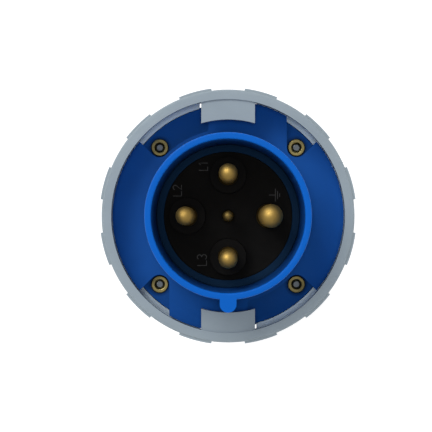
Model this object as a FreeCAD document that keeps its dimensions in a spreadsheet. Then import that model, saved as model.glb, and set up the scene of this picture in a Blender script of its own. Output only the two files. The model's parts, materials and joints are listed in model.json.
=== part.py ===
import FreeCAD, Part
import math
import os
import re
import Sketcher

# Industrial pin and sleeve plug, 63 A, three phases and earth, sealed, with a bayonet locking ring.
# The axis of the plug is Z, the gland nut stands on Z = 0 and the pins point up.
# The earth pin is at +X, the first phase at +Y and the key of the sleeve at -Y.

SIZES = {
    # Front housing: sleeve, key, flange and spigot
    "sleeve_r": 35.0,
    "sleeve_wall": 2.8,
    "sleeve_narrowing": 0.2,
    "sleeve_depth": 52.0,
    "sleeve_edge": 0.7,
    "key_width": 7.0,
    "key_height": 5.3,
    "hub_wall": 3.95,
    "hook_grip": 2.0,
    "zone_thick": 5.0,
    "zone_near_edge": 8.76,
    "pocket_depth": 4.5,
    "pocket_corner": 1.2,
    "journal_wall": 1.75,
    "journal_length": 5.0,
    "ledge_sink": 7.0,
    "ledge_thick": 3.0,
    "ledge_width": 3.2,
    "spigot_margin": 1.0,
    "spigot_wall": 4.0,
    "spigot_length": 16.0,
    # Threaded inserts and the screws that join both housings
    "insert_r": 3.9,
    "insert_room": 0.55,
    "insert_proud": 0.6,
    "insert_chamfer": 0.3,
    "insert_fit": 0.12,
    "screw_r": 2.0,
    "screw_fit": 0.1,
    "screw_recess": 0.8,
    "screw_bevel": 0.65,
    "screw_head_r": 3.5,
    "screw_head": 2.6,
    "screw_head_room": 0.4,
    "screw_socket_r": 1.7,
    "screw_socket_depth": 1.8,
    # Locking ring
    "ring_length": 38.0,
    "ring_reach": 20.0,
    "ring_gap": 0.8,
    "ring_relief": 0.5,
    "ring_wall": 2.2,
    "ring_edge": 0.8,
    "ring_fit": 0.3,
    "ring_play": 0.35,
    "ring_travel_angle": 40.0,
    "land_height": 0.9,
    "land_half_angle": 7.5,
    "land_count": 12.0,
    "lip_cover": 0.7,
    "lip_thick": 3.0,
    "lug_gap": 7.1,
    "lug_half_width": 11.7,
    "lug_drop": 1.0,
    "lug_thick": 4.5,
    "lug_ramp": 1.8,
    "lug_skin": 0.6,
    "window_play": 1.1,
    "stop_half_angle": 4.0,
    "stop_play_angle": 0.4,
    "stop_fit": 0.5,
    # Contacts
    "pin_circle_r": 18.25,
    "phase_pin_r": 4.0,
    "earth_pin_r": 5.0,
    "shank_shoulder": 0.5,
    "pin_recess": 8.5,
    "pin_dome": 3.0,
    "pilot_r": 2.2,
    "pilot_recess": 22.0,
    "pilot_dome": 1.6,
    "pin_fit": 0.05,
    "barrel_r": 6.5,
    "wire_r": 4.5,
    "wire_depth": 24.0,
    "pilot_barrel_r": 4.0,
    "pilot_wire_r": 2.2,
    "pilot_wire_depth": 16.0,
    "barrel_fit": 0.15,
    "barrel_play": 0.1,
    "clamp_screw_r": 2.5,
    "clamp_screw_length": 6.0,
    "clamp_screw_gap": 0.3,
    "clamp_screw_low": 9.0,
    "clamp_screw_apart": 9.0,
    "clamp_socket_r": 1.3,
    "clamp_socket_depth": 2.0,
    "pilot_screw_r": 1.5,
    "pilot_screw_length": 4.5,
    "pilot_socket_r": 0.75,
    "pilot_socket_depth": 1.5,
    # Contact carrier, terminal block, back plate and retaining clip
    "carrier_nose_fit": 0.15,
    "carrier_depth": 15.0,
    "carrier_flange": 6.0,
    "carrier_flange_fit": 0.1,
    "carrier_setback": 0.5,
    "collar_r": 8.15,
    "collar_height": 8.0,
    "block_length": 30.0,
    "bay_width": 11.0,
    "relief_start_r": 15.0,
    "relief_width": 9.0,
    "plate_thick": 3.5,
    "pilot_passage_r": 3.2,
    "plate_screw_circle_r": 10.5,
    "plate_screw_r": 1.5,
    "plate_screw_grip": 7.0,
    "plate_screw_head_r": 2.8,
    "plate_screw_head": 1.8,
    "clip_thick": 1.6,
    "clip_seat": 1.1,
    "clip_width": 3.1,
    "clip_mouth": 14.0,
    "clip_fit": 0.2,
    "clip_play": 0.1,
    # Sealing ring between both housings
    "seal_section_r": 1.1,
    "seal_depth": 11.7,
    "seal_fit": 0.05,
    "seal_groove_fit": 0.2,
    # Rear housing
    "grip_length": 135.0,
    "rear_fit": 0.3,
    "shoulder_cover": 0.7,
    "rear_flange": 12.0,
    "rear_flange_edge": 1.5,
    "rear_wall": 3.5,
    "rear_straight": 50.0,
    "spigot_room": 1.0,
    "rear_collar_lip": 1.5,
    "rear_collar_length": 7.0,
    "neck_wall": 5.5,
    "neck_bare": 3.0,
    "neck_stop_width": 2.0,
    "neck_stop": 4.0,
    "neck_chamfer": 1.0,
    "cavity_cone": 10.0,
    "rib_height": 1.3,
    "rib_width": 3.0,
    "rib_count": 16.0,
    "rib_start": 8.0,
    "gusset_length": 14.0,
    "gusset_width": 2.5,
    # Cable gland
    "nut_wall": 3.7,
    "nut_length": 40.0,
    "nut_floor": 4.0,
    "nut_round": 5.0,
    "nut_edge": 1.5,
    "nut_fit": 0.3,
    "nut_play": 0.05,
    "nut_flute_r": 2.2,
    "nut_flute_depth": 1.5,
    "nut_flute_start": 7.0,
    "nut_flute_count": 18.0,
    "cable_room": 2.0,
    "washer_thick": 2.0,
    "washer_setback": 0.5,
    "washer_fit": 0.8,
    "cage_flange": 3.0,
    "cage_play": 0.45,
    "cage_finger": 12.0,
    "cage_finger_wall": 2.4,
    "cage_fit": 0.4,
    "cage_slot": 2.0,
    "cage_slot_count": 8.0,
    "cage_tip_bevel": 1.6,
    "gland_seal_bore_r": 16.5,
    "gland_seal_wall": 3.9,
    "gland_seal_gap": 0.1,
    "gland_seal_fit": 0.1,
    "gland_seal_chamfer": 1.2,
}

WORKED_OUT = {
    # Levels along the axis, each from the pieces stacked below it
    "cage_back": "nut_floor + nut_play + washer_thick",
    "cage_tip": "cage_back + cage_flange + cage_finger",
    "neck_end": "cage_back + cage_flange + cage_play",
    "neck_top": "nut_length + neck_bare",
    "parting": "neck_top + grip_length",
    "screw_seat": "parting - rear_flange",
    "spigot_end": "parting - spigot_length",
    "zone_back": "parting + journal_length",
    "zone_front": "zone_back + zone_thick",
    "pocket_floor": "zone_front - pocket_depth",
    "rim": "zone_front + sleeve_depth",
    "ledge_front": "zone_front - ledge_sink",
    "ledge_back": "ledge_front - ledge_thick",
    "carrier_flange_back": "ledge_back - carrier_flange",
    "block_front": "ledge_front - carrier_depth",
    "block_back": "block_front - block_length",
    "plate_back": "block_back - plate_thick",
    "ring_front": "zone_front + ring_reach",
    "ring_back": "ring_front - ring_length",
    "hook_front": "zone_back - ring_play",
    "hook_back": "parting + ring_play",
    "lug_face": "ring_front - lug_drop",
    # Radii from the sleeve outwards
    "sleeve_bore_r": "sleeve_r - sleeve_wall",
    "key_reach": "sleeve_r + key_height",
    "lug_end_r": "sleeve_r + lug_gap",
    "hub_r": "sleeve_r + hub_wall",
    "insert_wall_r": "insert_r + insert_room",
    "insert_circle_r": "hub_r + insert_wall_r",
    "insert_across": "insert_circle_r / sqrt(2)",
    "screw_point_r": "screw_r - screw_bevel",
    "journal_r": "insert_circle_r + insert_wall_r + journal_wall",
    "hook_bore_r": "journal_r + ring_fit",
    "shoulder_r": "hook_bore_r + shoulder_cover",
    "zone_r": "journal_r + hook_grip",
    "lip_r": "zone_r - lip_cover",
    "ring_bore_r": "zone_r + ring_gap",
    "ring_skirt_r": "ring_bore_r + ring_relief",
    "ring_recess_r": "ring_skirt_r + ring_wall",
    "ring_land_r": "ring_recess_r + land_height",
    "window_half_width": "lug_half_width + window_play",
    # Radii of the spigot and of what it holds
    "spigot_r": "sleeve_r + spigot_margin",
    "spigot_bore_r": "spigot_r - spigot_wall",
    "hub_core_r": "(hub_r + spigot_r) / 2",
    "ledge_bore_r": "sleeve_bore_r - ledge_width",
    "carrier_r": "ledge_bore_r - carrier_setback",
    "phase_shank_r": "phase_pin_r + shank_shoulder",
    "earth_shank_r": "earth_pin_r + shank_shoulder",
    "pilot_shank_r": "pilot_r + shank_shoulder",
    "clip_r": "spigot_bore_r + clip_seat",
    "rear_bore_r": "spigot_r + rear_fit",
    "seal_floor_r": "rear_bore_r - 2 * seal_section_r - 2 * seal_fit",
    "rear_r": "insert_circle_r - screw_head_r - screw_head_room",
    "cavity_r": "rear_r - rear_wall",
    # Radii from the cable outwards
    "neck_bore_r": "gland_seal_bore_r + gland_seal_wall + gland_seal_fit",
    "neck_stop_r": "neck_bore_r - neck_stop_width",
    "neck_r": "neck_bore_r + neck_wall",
    "cage_outer_r": "neck_bore_r - cage_fit",
    "cage_inner_r": "cage_outer_r - cage_finger_wall",
    "nut_bore_r": "neck_r + nut_fit",
    "nut_r": "nut_bore_r + nut_wall",
    "nut_mouth_r": "gland_seal_bore_r + cable_room",
    "washer_bore_r": "nut_mouth_r + washer_setback",
    "rear_collar_r": "nut_r + rear_collar_lip",
}

HALF_TURNS = "2"
QUARTER_TURNS = "4"

doc = FreeCAD.newDocument("pin_and_sleeve_plug")
sheet = doc.addObject("Spreadsheet::Sheet", "Sizes")
for row, (alias, size) in enumerate(SIZES.items(), start=1):
    sheet.set(f"A{row}", str(size))
    sheet.setAlias(f"A{row}", alias)
doc.recompute()

PIN_ANGLES = {"earth_pin": 0, "pin_l1": 90, "pin_l2": 180, "pin_l3": 270}


def bound(text):
    """Write out each name in an expression: a size as its cell of the sheet, and what is worked
    out from sizes as its own expression."""
    def written(word):
        if word[0] in WORKED_OUT:
            return f"({bound(WORKED_OUT[word[0]])})"
        return f"Sizes.{word[0]}" if word[0] in SIZES else word[0]
    return re.sub(r"[a-z_]\w*", written, str(text))


def value(text):
    """Work out an expression with the present sizes."""
    return float(sheet.evalExpression(bound(text)))


def new_body(name):
    """Start a sub-part."""
    body = doc.addObject("PartDesign::Body", name)
    body.Label = name
    return body


def new_sketch(body, name, plane="XY_Plane", offset="0"):
    """Start a sketch on one of the body's own planes, moved along the plane's normal."""
    sketch = body.newObject("Sketcher::SketchObject", f"{body.Name}_{name}")
    support = next(item for item in body.Origin.OriginFeatures if item.Role == plane)
    sketch.AttachmentSupport = [(support, "")]
    sketch.MapMode = "FlatFace"
    sketch.setExpression("AttachmentOffset.Base.z", bound(offset))
    return sketch


def fix_point(sketch, edge, end, across, up):
    """Tie one end of an edge to its place in the sketch."""
    for kind, text in (("DistanceX", across), ("DistanceY", up)):
        number = sketch.addConstraint(Sketcher.Constraint(kind, -1, 1, edge, end, value(text)))
        sketch.setExpression(f"Constraints[{number}]", bound(text))


def fix_radius(sketch, edge, radius):
    """Tie the radius of a circle or an arc to its size."""
    number = sketch.addConstraint(Sketcher.Constraint("Radius", edge, value(radius)))
    sketch.setExpression(f"Constraints[{number}]", bound(radius))


def circle(sketch, across, up, radius):
    """Draw a circle."""
    centre = FreeCAD.Vector(value(across), value(up), 0)
    edge = sketch.addGeometry(Part.Circle(centre, FreeCAD.Vector(0, 0, 1), value(radius)), False)
    fix_point(sketch, edge, 3, across, up)
    fix_radius(sketch, edge, radius)


def arc_between(start, end, radius, turn):
    """The smaller arc from start to end, turning left for turn +1 and right for turn -1."""
    chord = end - start
    reach = math.sqrt(max(radius ** 2 - (chord.Length / 2) ** 2, 0.0))
    side = FreeCAD.Vector(-chord.y, chord.x, 0).normalize() * (turn * reach)
    centre = (start + end) * 0.5 + side
    first, last = (start, end) if turn > 0 else (end, start)
    angles = [math.atan2(point.y - centre.y, point.x - centre.x) for point in (first, last)]
    return Part.ArcOfCircle(Part.Circle(centre, FreeCAD.Vector(0, 0, 1), radius), *angles)


def outline(sketch, points):
    """Draw a closed outline. A point is (across, up), or (across, up, radius, turn) where the
    edge that arrives there is an arc."""
    places = [FreeCAD.Vector(value(point[0]), value(point[1]), 0) for point in points]
    edges = []
    for index, point in enumerate(points):
        start, end = places[index - 1], places[index]
        if len(point) == 2:
            edge = sketch.addGeometry(Part.LineSegment(start, end), False)
            edges.append((edge, 1, 2))
        else:
            edge = sketch.addGeometry(arc_between(start, end, value(point[2]), point[3]), False)
            edges.append((edge, 1, 2) if point[3] > 0 else (edge, 2, 1))
    for index, (edge, _, end) in enumerate(edges):
        after, first, _ = edges[(index + 1) % len(edges)]
        sketch.addConstraint(Sketcher.Constraint("Coincident", edge, end, after, first))
        fix_point(sketch, edge, end, points[index][0], points[index][1])
        if len(points[index]) > 2:
            fix_radius(sketch, edge, points[index][2])


def axis_line(sketch, across=None, up=None):
    """Draw a construction line to turn a profile about: upright at across, or level at up."""
    ends = [(across, "0"), (across, "10")] if up is None else [("0", up), ("10", up)]
    places = [FreeCAD.Vector(value(u), value(v), 0) for u, v in ends]
    edge = sketch.addGeometry(Part.LineSegment(*places), True)
    for end, (u, v) in enumerate(ends, start=1):
        fix_point(sketch, edge, end, u, v)
    return "Axis0"


def turned(body, name, points, across=None, up=None):
    """Turn a profile drawn in the XZ plane about the body's axis or about a line beside it."""
    sketch = new_sketch(body, f"{name}_profile", "XZ_Plane")
    axis = axis_line(sketch, across, up) if across or up else "V_Axis"
    outline(sketch, points)
    feature = body.newObject("PartDesign::Revolution", f"{body.Name}_{name}")
    feature.Profile = sketch
    feature.ReferenceAxis = (sketch, [axis])
    feature.Angle = 360
    body.Tip = feature
    return feature


def pad(body, name, sketch, length, backwards=False, both_ways=False):
    """Push a sketch out into a solid."""
    feature = body.newObject("PartDesign::Pad", f"{body.Name}_{name}")
    feature.Profile = sketch
    feature.setExpression("Length", bound(length))
    feature.Reversed = backwards
    feature.Midplane = both_ways
    body.Tip = feature
    return feature


def pocket(body, name, sketch, length, forwards=True):
    """Cut a sketch out of the solid, towards the normal of its plane unless told otherwise."""
    feature = body.newObject("PartDesign::Pocket", f"{body.Name}_{name}")
    feature.Profile = sketch
    feature.setExpression("Length", bound(length))
    feature.Reversed = forwards
    body.Tip = feature
    return feature


def ring_of(body, name, features, count):
    """Repeat features round the body's axis."""
    pattern = body.newObject("PartDesign::PolarPattern", f"{body.Name}_{name}")
    pattern.Originals = features
    upright = next(item for item in body.Origin.OriginFeatures if item.Role == "Z_Axis")
    pattern.Axis = (upright, [""])
    pattern.Angle = 360
    pattern.setExpression("Occurrences", bound(count))
    body.Tip = pattern
    return pattern


def polar(radius, angle):
    """The two coordinates of a point given by its radius and its angle in degrees."""
    return f"({radius}) * cos(({angle}) * 1 deg)", f"({radius}) * sin(({angle}) * 1 deg)"


def sector(sketch, inner, outer, middle, half):
    """Draw a piece of a flat ring, half an angle to each side of its middle."""
    start = f"({middle}) - ({half})"
    end = f"({middle}) + ({half})"
    outline(sketch, [
        (*polar(inner, start), inner, -1),
        polar(outer, start),
        (*polar(outer, end), outer, 1),
        polar(inner, end),
    ])


def stack_of_radii(*pairs):
    """A turned profile that starts and ends on the axis, from (radius, level) pairs."""
    return [("0", pairs[0][1]), *pairs, ("0", pairs[-1][1])]


def domed_tip(radius, dome, top):
    """The two points of a rounded tip that ends a turned profile, the edge of the dome last."""
    curve = f"((({radius}) ^ 2 + ({dome}) ^ 2) / (2 * ({dome})))"
    return ("0", top), (radius, f"{top} - {dome}", curve, -1)


def front_housing():
    """Moulded sleeve with its key, the flange that the ring turns on, and the spigot behind it."""
    body = new_body("front_housing")
    inner_edge = "sleeve_bore_r + sleeve_edge"
    groove_top = "parting - seal_depth + seal_section_r + seal_groove_fit"
    groove_end = "parting - seal_depth - seal_section_r - seal_groove_fit"
    clip_groove_end = "carrier_flange_back - clip_thick - clip_fit"
    turned(body, "shell", [
        (inner_edge, "rim", "sleeve_edge", -1),
        ("sleeve_r - sleeve_edge", "rim"),
        ("sleeve_r", "rim - sleeve_edge", "sleeve_edge", -1),
        ("sleeve_r", "zone_front"),
        ("hub_r", "zone_front"),
        ("hub_r", "pocket_floor"),
        ("journal_r", "pocket_floor"),
        ("journal_r", "parting"),
        ("spigot_r", "parting"),
        ("spigot_r", groove_top),
        ("seal_floor_r", groove_top),
        ("seal_floor_r", groove_end),
        ("spigot_r", groove_end),
        ("spigot_r", "spigot_end"),
        ("spigot_bore_r", "spigot_end"),
        ("spigot_bore_r", clip_groove_end),
        ("clip_r + clip_fit", clip_groove_end),
        ("clip_r + clip_fit", "carrier_flange_back"),
        ("spigot_bore_r", "carrier_flange_back"),
        ("spigot_bore_r", "ledge_back"),
        ("ledge_bore_r", "ledge_back"),
        ("ledge_bore_r", "ledge_front"),
        ("sleeve_bore_r - sleeve_narrowing", "ledge_front"),
        ("sleeve_bore_r", "rim - sleeve_edge"),
    ])
    # The key runs the whole length of the sleeve and ends in a half round.
    key = new_sketch(body, "key_outline", "XY_Plane", "zone_front - pocket_depth / 2")
    outline(key, [
        ("-key_width / 2", "-(sleeve_r - sleeve_wall / 2)"),
        ("-key_width / 2", "-(key_reach - key_width / 2)"),
        ("0", "-key_reach", "key_width / 2", 1),
        ("key_width / 2", "-(key_reach - key_width / 2)", "key_width / 2", 1),
        ("key_width / 2", "-(sleeve_r - sleeve_wall / 2)"),
    ])
    pad(body, "key", key, "sleeve_depth + pocket_depth / 2")
    # Two wide zones beside the earth pin and opposite it: their edges run parallel to the
    # diagonals and touch the round walls that leave room for the inserts.
    tangent = "(insert_across + insert_wall_r / sqrt(2))"
    shoulder = "(insert_across - insert_wall_r / sqrt(2))"
    corner_angle = "(45 - asin(insert_wall_r / zone_r) / 1 deg)"
    side_zone = new_sketch(body, "side_zone_outline", "XY_Plane", "zone_back")
    outline(side_zone, [
        (*polar("hub_core_r", "-45"), "hub_core_r", -1),
        polar("hub_r", "-45"),
        (tangent, f"-{shoulder}", "insert_wall_r", -1),
        polar("zone_r", f"-{corner_angle}"),
        (*polar("zone_r", corner_angle), "zone_r", 1),
        (tangent, shoulder),
        (*polar("hub_r", "45"), "insert_wall_r", -1),
        polar("hub_core_r", "45"),
    ])
    side = pad(body, "side_zone", side_zone, "zone_thick")
    # Two narrower zones behind the lugs of the ring, each with two straight upright edges.
    far_edge = "(insert_across - insert_wall_r)"
    corner_r = "(hub_r + pocket_corner)"
    corner_across = "(zone_near_edge + pocket_corner)"
    corner_up = f"sqrt({corner_r} ^ 2 - {corner_across} ^ 2)"
    lug_zone = new_sketch(body, "lug_zone_outline", "XY_Plane", "zone_back")
    outline(lug_zone, [
        (*polar("hub_core_r", "45"), "hub_core_r", -1),
        polar("hub_r", "45"),
        (far_edge, "insert_across", "insert_wall_r", -1),
        (far_edge, f"sqrt(zone_r ^ 2 - {far_edge} ^ 2)"),
        ("-zone_near_edge", "sqrt(zone_r ^ 2 - zone_near_edge ^ 2)", "zone_r", 1),
        ("-zone_near_edge", corner_up),
        (f"-{corner_across} * hub_r / {corner_r}", f"{corner_up} * hub_r / {corner_r}",
         "pocket_corner", -1),
        (f"-{corner_across} * hub_core_r / {corner_r}", f"{corner_up} * hub_core_r / {corner_r}"),
    ])
    lug = pad(body, "lug_zone", lug_zone, "zone_thick")
    ring_of(body, "zones", [side, lug], HALF_TURNS)
    holes = new_sketch(body, "insert_holes", "XY_Plane", "parting")
    circle(holes, "insert_across", "insert_across", "insert_r + insert_fit")
    hole = pocket(body, "insert_hole", holes, "zone_thick + journal_length")
    ring_of(body, "insert_hole_ring", [hole], QUARTER_TURNS)


def threaded_inserts():
    """Brass bushes pressed into the floor of the flange's pockets."""
    body = new_body("threaded_inserts")
    bore = "screw_r + screw_fit"
    outer = "insert_r - insert_chamfer"
    back = "parting + insert_fit"
    front = "pocket_floor + insert_proud"
    bush = turned(body, "bush", [
        (f"insert_circle_r + {bore}", back),
        (f"insert_circle_r + {outer}", back),
        ("insert_circle_r + insert_r", f"{back} + insert_chamfer"),
        ("insert_circle_r + insert_r", f"{front} - insert_chamfer"),
        (f"insert_circle_r + {outer}", front),
        (f"insert_circle_r + {bore} + insert_chamfer", front),
        (f"insert_circle_r + {bore}", f"{front} - insert_chamfer"),
    ], across="insert_circle_r")
    ring_of(body, "bushes", [bush], QUARTER_TURNS)
    body.setExpression(".Placement.Rotation.Angle", "45 deg")


def assembly_screws():
    """Socket head screws, put in from behind the rear housing's flange."""
    body = new_body("assembly_screws")
    tip = "pocket_floor + insert_proud - screw_recess"
    head = "screw_seat - screw_head"
    screw = turned(body, "screw", [
        ("insert_circle_r", f"{head} + screw_socket_depth"),
        ("insert_circle_r + screw_socket_r", f"{head} + screw_socket_depth"),
        ("insert_circle_r + screw_socket_r", head),
        ("insert_circle_r + screw_head_r", head),
        ("insert_circle_r + screw_head_r", "screw_seat"),
        ("insert_circle_r + screw_r", "screw_seat"),
        ("insert_circle_r + screw_r", f"{tip} - screw_bevel"),
        ("insert_circle_r + screw_point_r", tip),
        ("insert_circle_r", tip),
    ], across="insert_circle_r")
    ring_of(body, "screws", [screw], QUARTER_TURNS)
    body.setExpression(".Placement.Rotation.Angle", "45 deg")


def locking_ring():
    """Moulded ring with twelve grip lands, two ramped lugs in front, a hooked rim behind the
    flange's zones, and four ribs that stop it against the rear housing."""
    body = new_body("locking_ring")
    turned(body, "shell", [
        ("lip_r", "ring_front"),
        ("ring_recess_r - ring_edge", "ring_front"),
        ("ring_recess_r", "ring_front - ring_edge", "ring_edge", -1),
        ("ring_recess_r", "ring_back + ring_edge"),
        ("ring_recess_r - ring_edge", "ring_back", "ring_edge", -1),
        ("ring_skirt_r", "ring_back"),
        ("ring_skirt_r", "hook_back"),
        ("hook_bore_r", "hook_back"),
        ("hook_bore_r", "hook_front"),
        ("ring_skirt_r", "hook_front"),
        ("ring_bore_r", "ring_front - lip_thick"),
        ("lip_r", "ring_front - lip_thick"),
    ])
    land_sketch = new_sketch(body, "land_outline", "XY_Plane", "ring_back + ring_edge")
    land_root = "(ring_skirt_r + ring_recess_r) / 2"
    sector(land_sketch, land_root, "ring_land_r", "180 / land_count", "land_half_angle")
    land = pad(body, "land", land_sketch, "ring_length - 2 * ring_edge")
    ring_of(body, "lands", [land], "land_count")
    # The lug is a wedge seen from the side: its rear face is the ramp that draws the plug home.
    lug_root = "sqrt((ring_recess_r - lug_skin) ^ 2 - lug_half_width ^ 2)"
    wedge = new_sketch(body, "lug_side", "XZ_Plane", f"-{lug_root}")
    outline(wedge, [
        ("-lug_half_width", "lug_face - lug_thick"),
        ("lug_half_width", "lug_face - lug_thick - lug_ramp"),
        ("lug_half_width", "lug_face"),
        ("-lug_half_width", "lug_face"),
    ])
    lug = pad(body, "lug", wedge, f"{lug_root} - lug_end_r / 2")
    ring_of(body, "lugs", [lug], HALF_TURNS)
    clear = new_sketch(body, "lug_ends", "XY_Plane", "ring_back")
    circle(clear, "0", "0", "lug_end_r")
    pocket(body, "lug_end", clear, "ring_length")
    # A window in the rim behind each lug lets the mould tool form the lug's rear face.
    window_sketch = new_sketch(body, "window_outline", "XY_Plane", "hook_back - ring_play")
    window_in = "(journal_r - ring_fit)"
    outline(window_sketch, [
        ("-window_half_width", f"sqrt({window_in} ^ 2 - window_half_width ^ 2)"),
        ("window_half_width", f"sqrt({window_in} ^ 2 - window_half_width ^ 2)"),
        ("window_half_width", "sqrt(ring_bore_r ^ 2 - window_half_width ^ 2)"),
        ("-window_half_width", "sqrt(ring_bore_r ^ 2 - window_half_width ^ 2)", "ring_bore_r", 1),
    ])
    window = pocket(body, "window", window_sketch, "journal_length")
    ring_of(body, "windows", [window], HALF_TURNS)
    # The stop ribs leave the ring its travel between the two nubs of the rear housing.
    rib_inner = "(shoulder_r + stop_fit)"
    rib_outer = "(ring_skirt_r + ring_recess_r) / 2"
    shut_rib = "2 * stop_half_angle + stop_play_angle"
    open_rib = f"-(ring_travel_angle + {shut_rib})"
    ribs = []
    for name, middle in (("shut_rib", shut_rib), ("open_rib", open_rib)):
        rib_sketch = new_sketch(body, f"{name}_outline", "XY_Plane", "ring_back + ring_edge")
        sector(rib_sketch, rib_inner, rib_outer, middle, "stop_half_angle")
        ribs.append(pad(body, name, rib_sketch, "hook_back - ring_back - ring_edge"))
    ring_of(body, "ribs", ribs, HALF_TURNS)


def rear_housing():
    """Moulded rear shell: flange, tapered grip with ribs, threaded neck and cable passage."""
    body = new_body("rear_housing")
    straight = "(screw_seat - rear_straight)"
    collar_top = "(neck_top + rear_collar_length)"
    drop = f"({straight} - {collar_top})"
    waist = "(rear_r - rear_collar_r)"
    curve = f"(({drop} ^ 2 + {waist} ^ 2) / (2 * {waist}))"
    cone_top = "(neck_top + neck_stop + cavity_cone)"
    inner_curve = f"({curve} - rear_wall)"
    cone_r = f"(cavity_r - {inner_curve} + sqrt({inner_curve} ^ 2 - ({straight} - {cone_top}) ^ 2))"
    turned(body, "shell", [
        ("neck_bore_r", "neck_end"),
        ("neck_r - neck_chamfer", "neck_end"),
        ("neck_r", "neck_end + neck_chamfer"),
        ("neck_r", "neck_top"),
        ("rear_collar_r - neck_chamfer", "neck_top"),
        ("rear_collar_r", "neck_top + neck_chamfer"),
        ("rear_collar_r", collar_top),
        ("rear_r", straight, curve, 1),
        ("rear_r", "screw_seat"),
        ("shoulder_r - rear_flange_edge", "screw_seat"),
        ("shoulder_r", "screw_seat + rear_flange_edge", "rear_flange_edge", 1),
        ("shoulder_r", "parting"),
        ("rear_bore_r", "parting"),
        ("rear_bore_r", "spigot_end - spigot_room"),
        ("cavity_r", "spigot_end - spigot_room"),
        ("cavity_r", straight),
        (cone_r, cone_top, inner_curve, -1),
        ("neck_stop_r", "neck_top + neck_stop"),
        ("neck_stop_r", "neck_top"),
        ("neck_bore_r", "neck_top"),
    ])
    # Grip ribs stand on the tapered side and follow its curve.
    rib_foot = f"({collar_top} + rib_start)"
    foot_drop = f"({straight} - {rib_foot})"
    centre = f"(rear_r - {curve})"
    rib_sketch = new_sketch(body, "rib_side", "XZ_Plane")
    low_outer = f"({centre} + sqrt(({curve} + rib_height) ^ 2 - {foot_drop} ^ 2))"
    low_inner = f"({centre} + sqrt(({curve} - rear_wall / 2) ^ 2 - {foot_drop} ^ 2))"
    rib_end = f"({straight} + rear_straight / 2)"
    outline(rib_sketch, [
        (low_inner, rib_foot),
        (low_outer, f"{rib_foot} + rib_height"),
        ("rear_r + rib_height", straight, f"({curve} + rib_height)", 1),
        ("rear_r + rib_height", f"{rib_end} - 2 * rib_height"),
        ("rear_r", rib_end),
        ("rear_r - rear_wall / 2", rib_end),
        ("rear_r - rear_wall / 2", straight),
    ])
    rib = pad(body, "rib", rib_sketch, "rib_width", both_ways=True)
    ring_of(body, "ribs", [rib], "rib_count")
    # Gussets under the flange stand on either side of each screw, in line with a grip rib.
    gusset_sketch = new_sketch(body, "gusset_side", "XZ_Plane")
    gusset_sketch.AttachmentOffset = FreeCAD.Placement(
        FreeCAD.Vector(0, 0, 0), FreeCAD.Rotation(FreeCAD.Vector(0, 1, 0), 1))
    gusset_sketch.setExpression("AttachmentOffset.Rotation.Angle", bound("360 deg / rib_count"))
    outline(gusset_sketch, [
        ("rear_r - rear_wall / 2", "screw_seat - gusset_length"),
        ("rear_r", "screw_seat - gusset_length"),
        ("shoulder_r - 2 * rear_flange_edge", "screw_seat - rear_flange_edge"),
        ("shoulder_r - 2 * rear_flange_edge", "screw_seat + rear_flange_edge"),
        ("rear_r - rear_wall / 2", "screw_seat + rear_flange_edge"),
    ])
    gusset = pad(body, "gusset", gusset_sketch, "gusset_width", both_ways=True)
    ring_of(body, "gussets", [gusset], "rib_count / 2")
    nub_sketch = new_sketch(body, "nub_outline", "XY_Plane", "ring_back")
    nub_inner = "(insert_circle_r + shoulder_r) / 2"
    sector(nub_sketch, nub_inner, "ring_skirt_r - stop_fit", "0", "stop_half_angle")
    nub = pad(body, "nub", nub_sketch, "parting - ring_back - stop_fit")
    ring_of(body, "nubs", [nub], HALF_TURNS)
    holes = new_sketch(body, "screw_holes", "XY_Plane", "screw_seat")
    circle(holes, "insert_across", "insert_across", "screw_r + insert_fit")
    hole = pocket(body, "screw_hole", holes, "rear_flange")
    ring_of(body, "screw_hole_ring", [hole], QUARTER_TURNS)


def housing_seal():
    """Rubber ring in the spigot's groove."""
    body = new_body("housing_seal")
    sketch = new_sketch(body, "section", "XZ_Plane")
    circle(sketch, "rear_bore_r - seal_fit - seal_section_r", "parting - seal_depth", "seal_section_r")
    feature = body.newObject("PartDesign::Revolution", "housing_seal_ring")
    feature.Profile = sketch
    feature.ReferenceAxis = (sketch, ["V_Axis"])
    feature.Angle = 360
    body.Tip = feature


def contact_carrier():
    """Moulded front insulator: a round nose in the sleeve's opening with a collar round each
    phase pin, a flange behind the ledge, and a bore for each pin."""
    body = new_body("contact_carrier")
    nose = "ledge_bore_r - carrier_nose_fit"
    flange = "spigot_bore_r - carrier_flange_fit"
    turned(body, "core", stack_of_radii(
        (nose, "ledge_front"),
        (nose, "ledge_back"),
        (flange, "ledge_back"),
        (flange, "carrier_flange_back"),
        ("carrier_r", "carrier_flange_back"),
        ("carrier_r", "block_front"),
    ))
    phases = [polar("pin_circle_r", angle) for angle in PIN_ANGLES.values() if angle]
    collars = new_sketch(body, "collar_outlines", "XY_Plane", "ledge_front")
    for across, up in phases:
        circle(collars, across, up, "collar_r")
    pad(body, "collars", collars, "collar_height")
    bores = new_sketch(body, "pin_bores", "XY_Plane", "block_front")
    for across, up in phases:
        circle(bores, across, up, "phase_shank_r + pin_fit")
    circle(bores, "pin_circle_r", "0", "earth_shank_r + pin_fit")
    circle(bores, "0", "0", "pilot_shank_r + pin_fit")
    pocket(body, "pin_bore", bores, "carrier_depth + collar_height")
    screws = new_sketch(body, "screw_holes", "XY_Plane", "block_front")
    circle(screws, *polar("plate_screw_circle_r", "45"), "plate_screw_r + pin_fit")
    hole = pocket(body, "screw_hole", screws, "plate_screw_grip + pin_fit")
    ring_of(body, "screw_hole_ring", [hole], HALF_TURNS)


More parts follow.
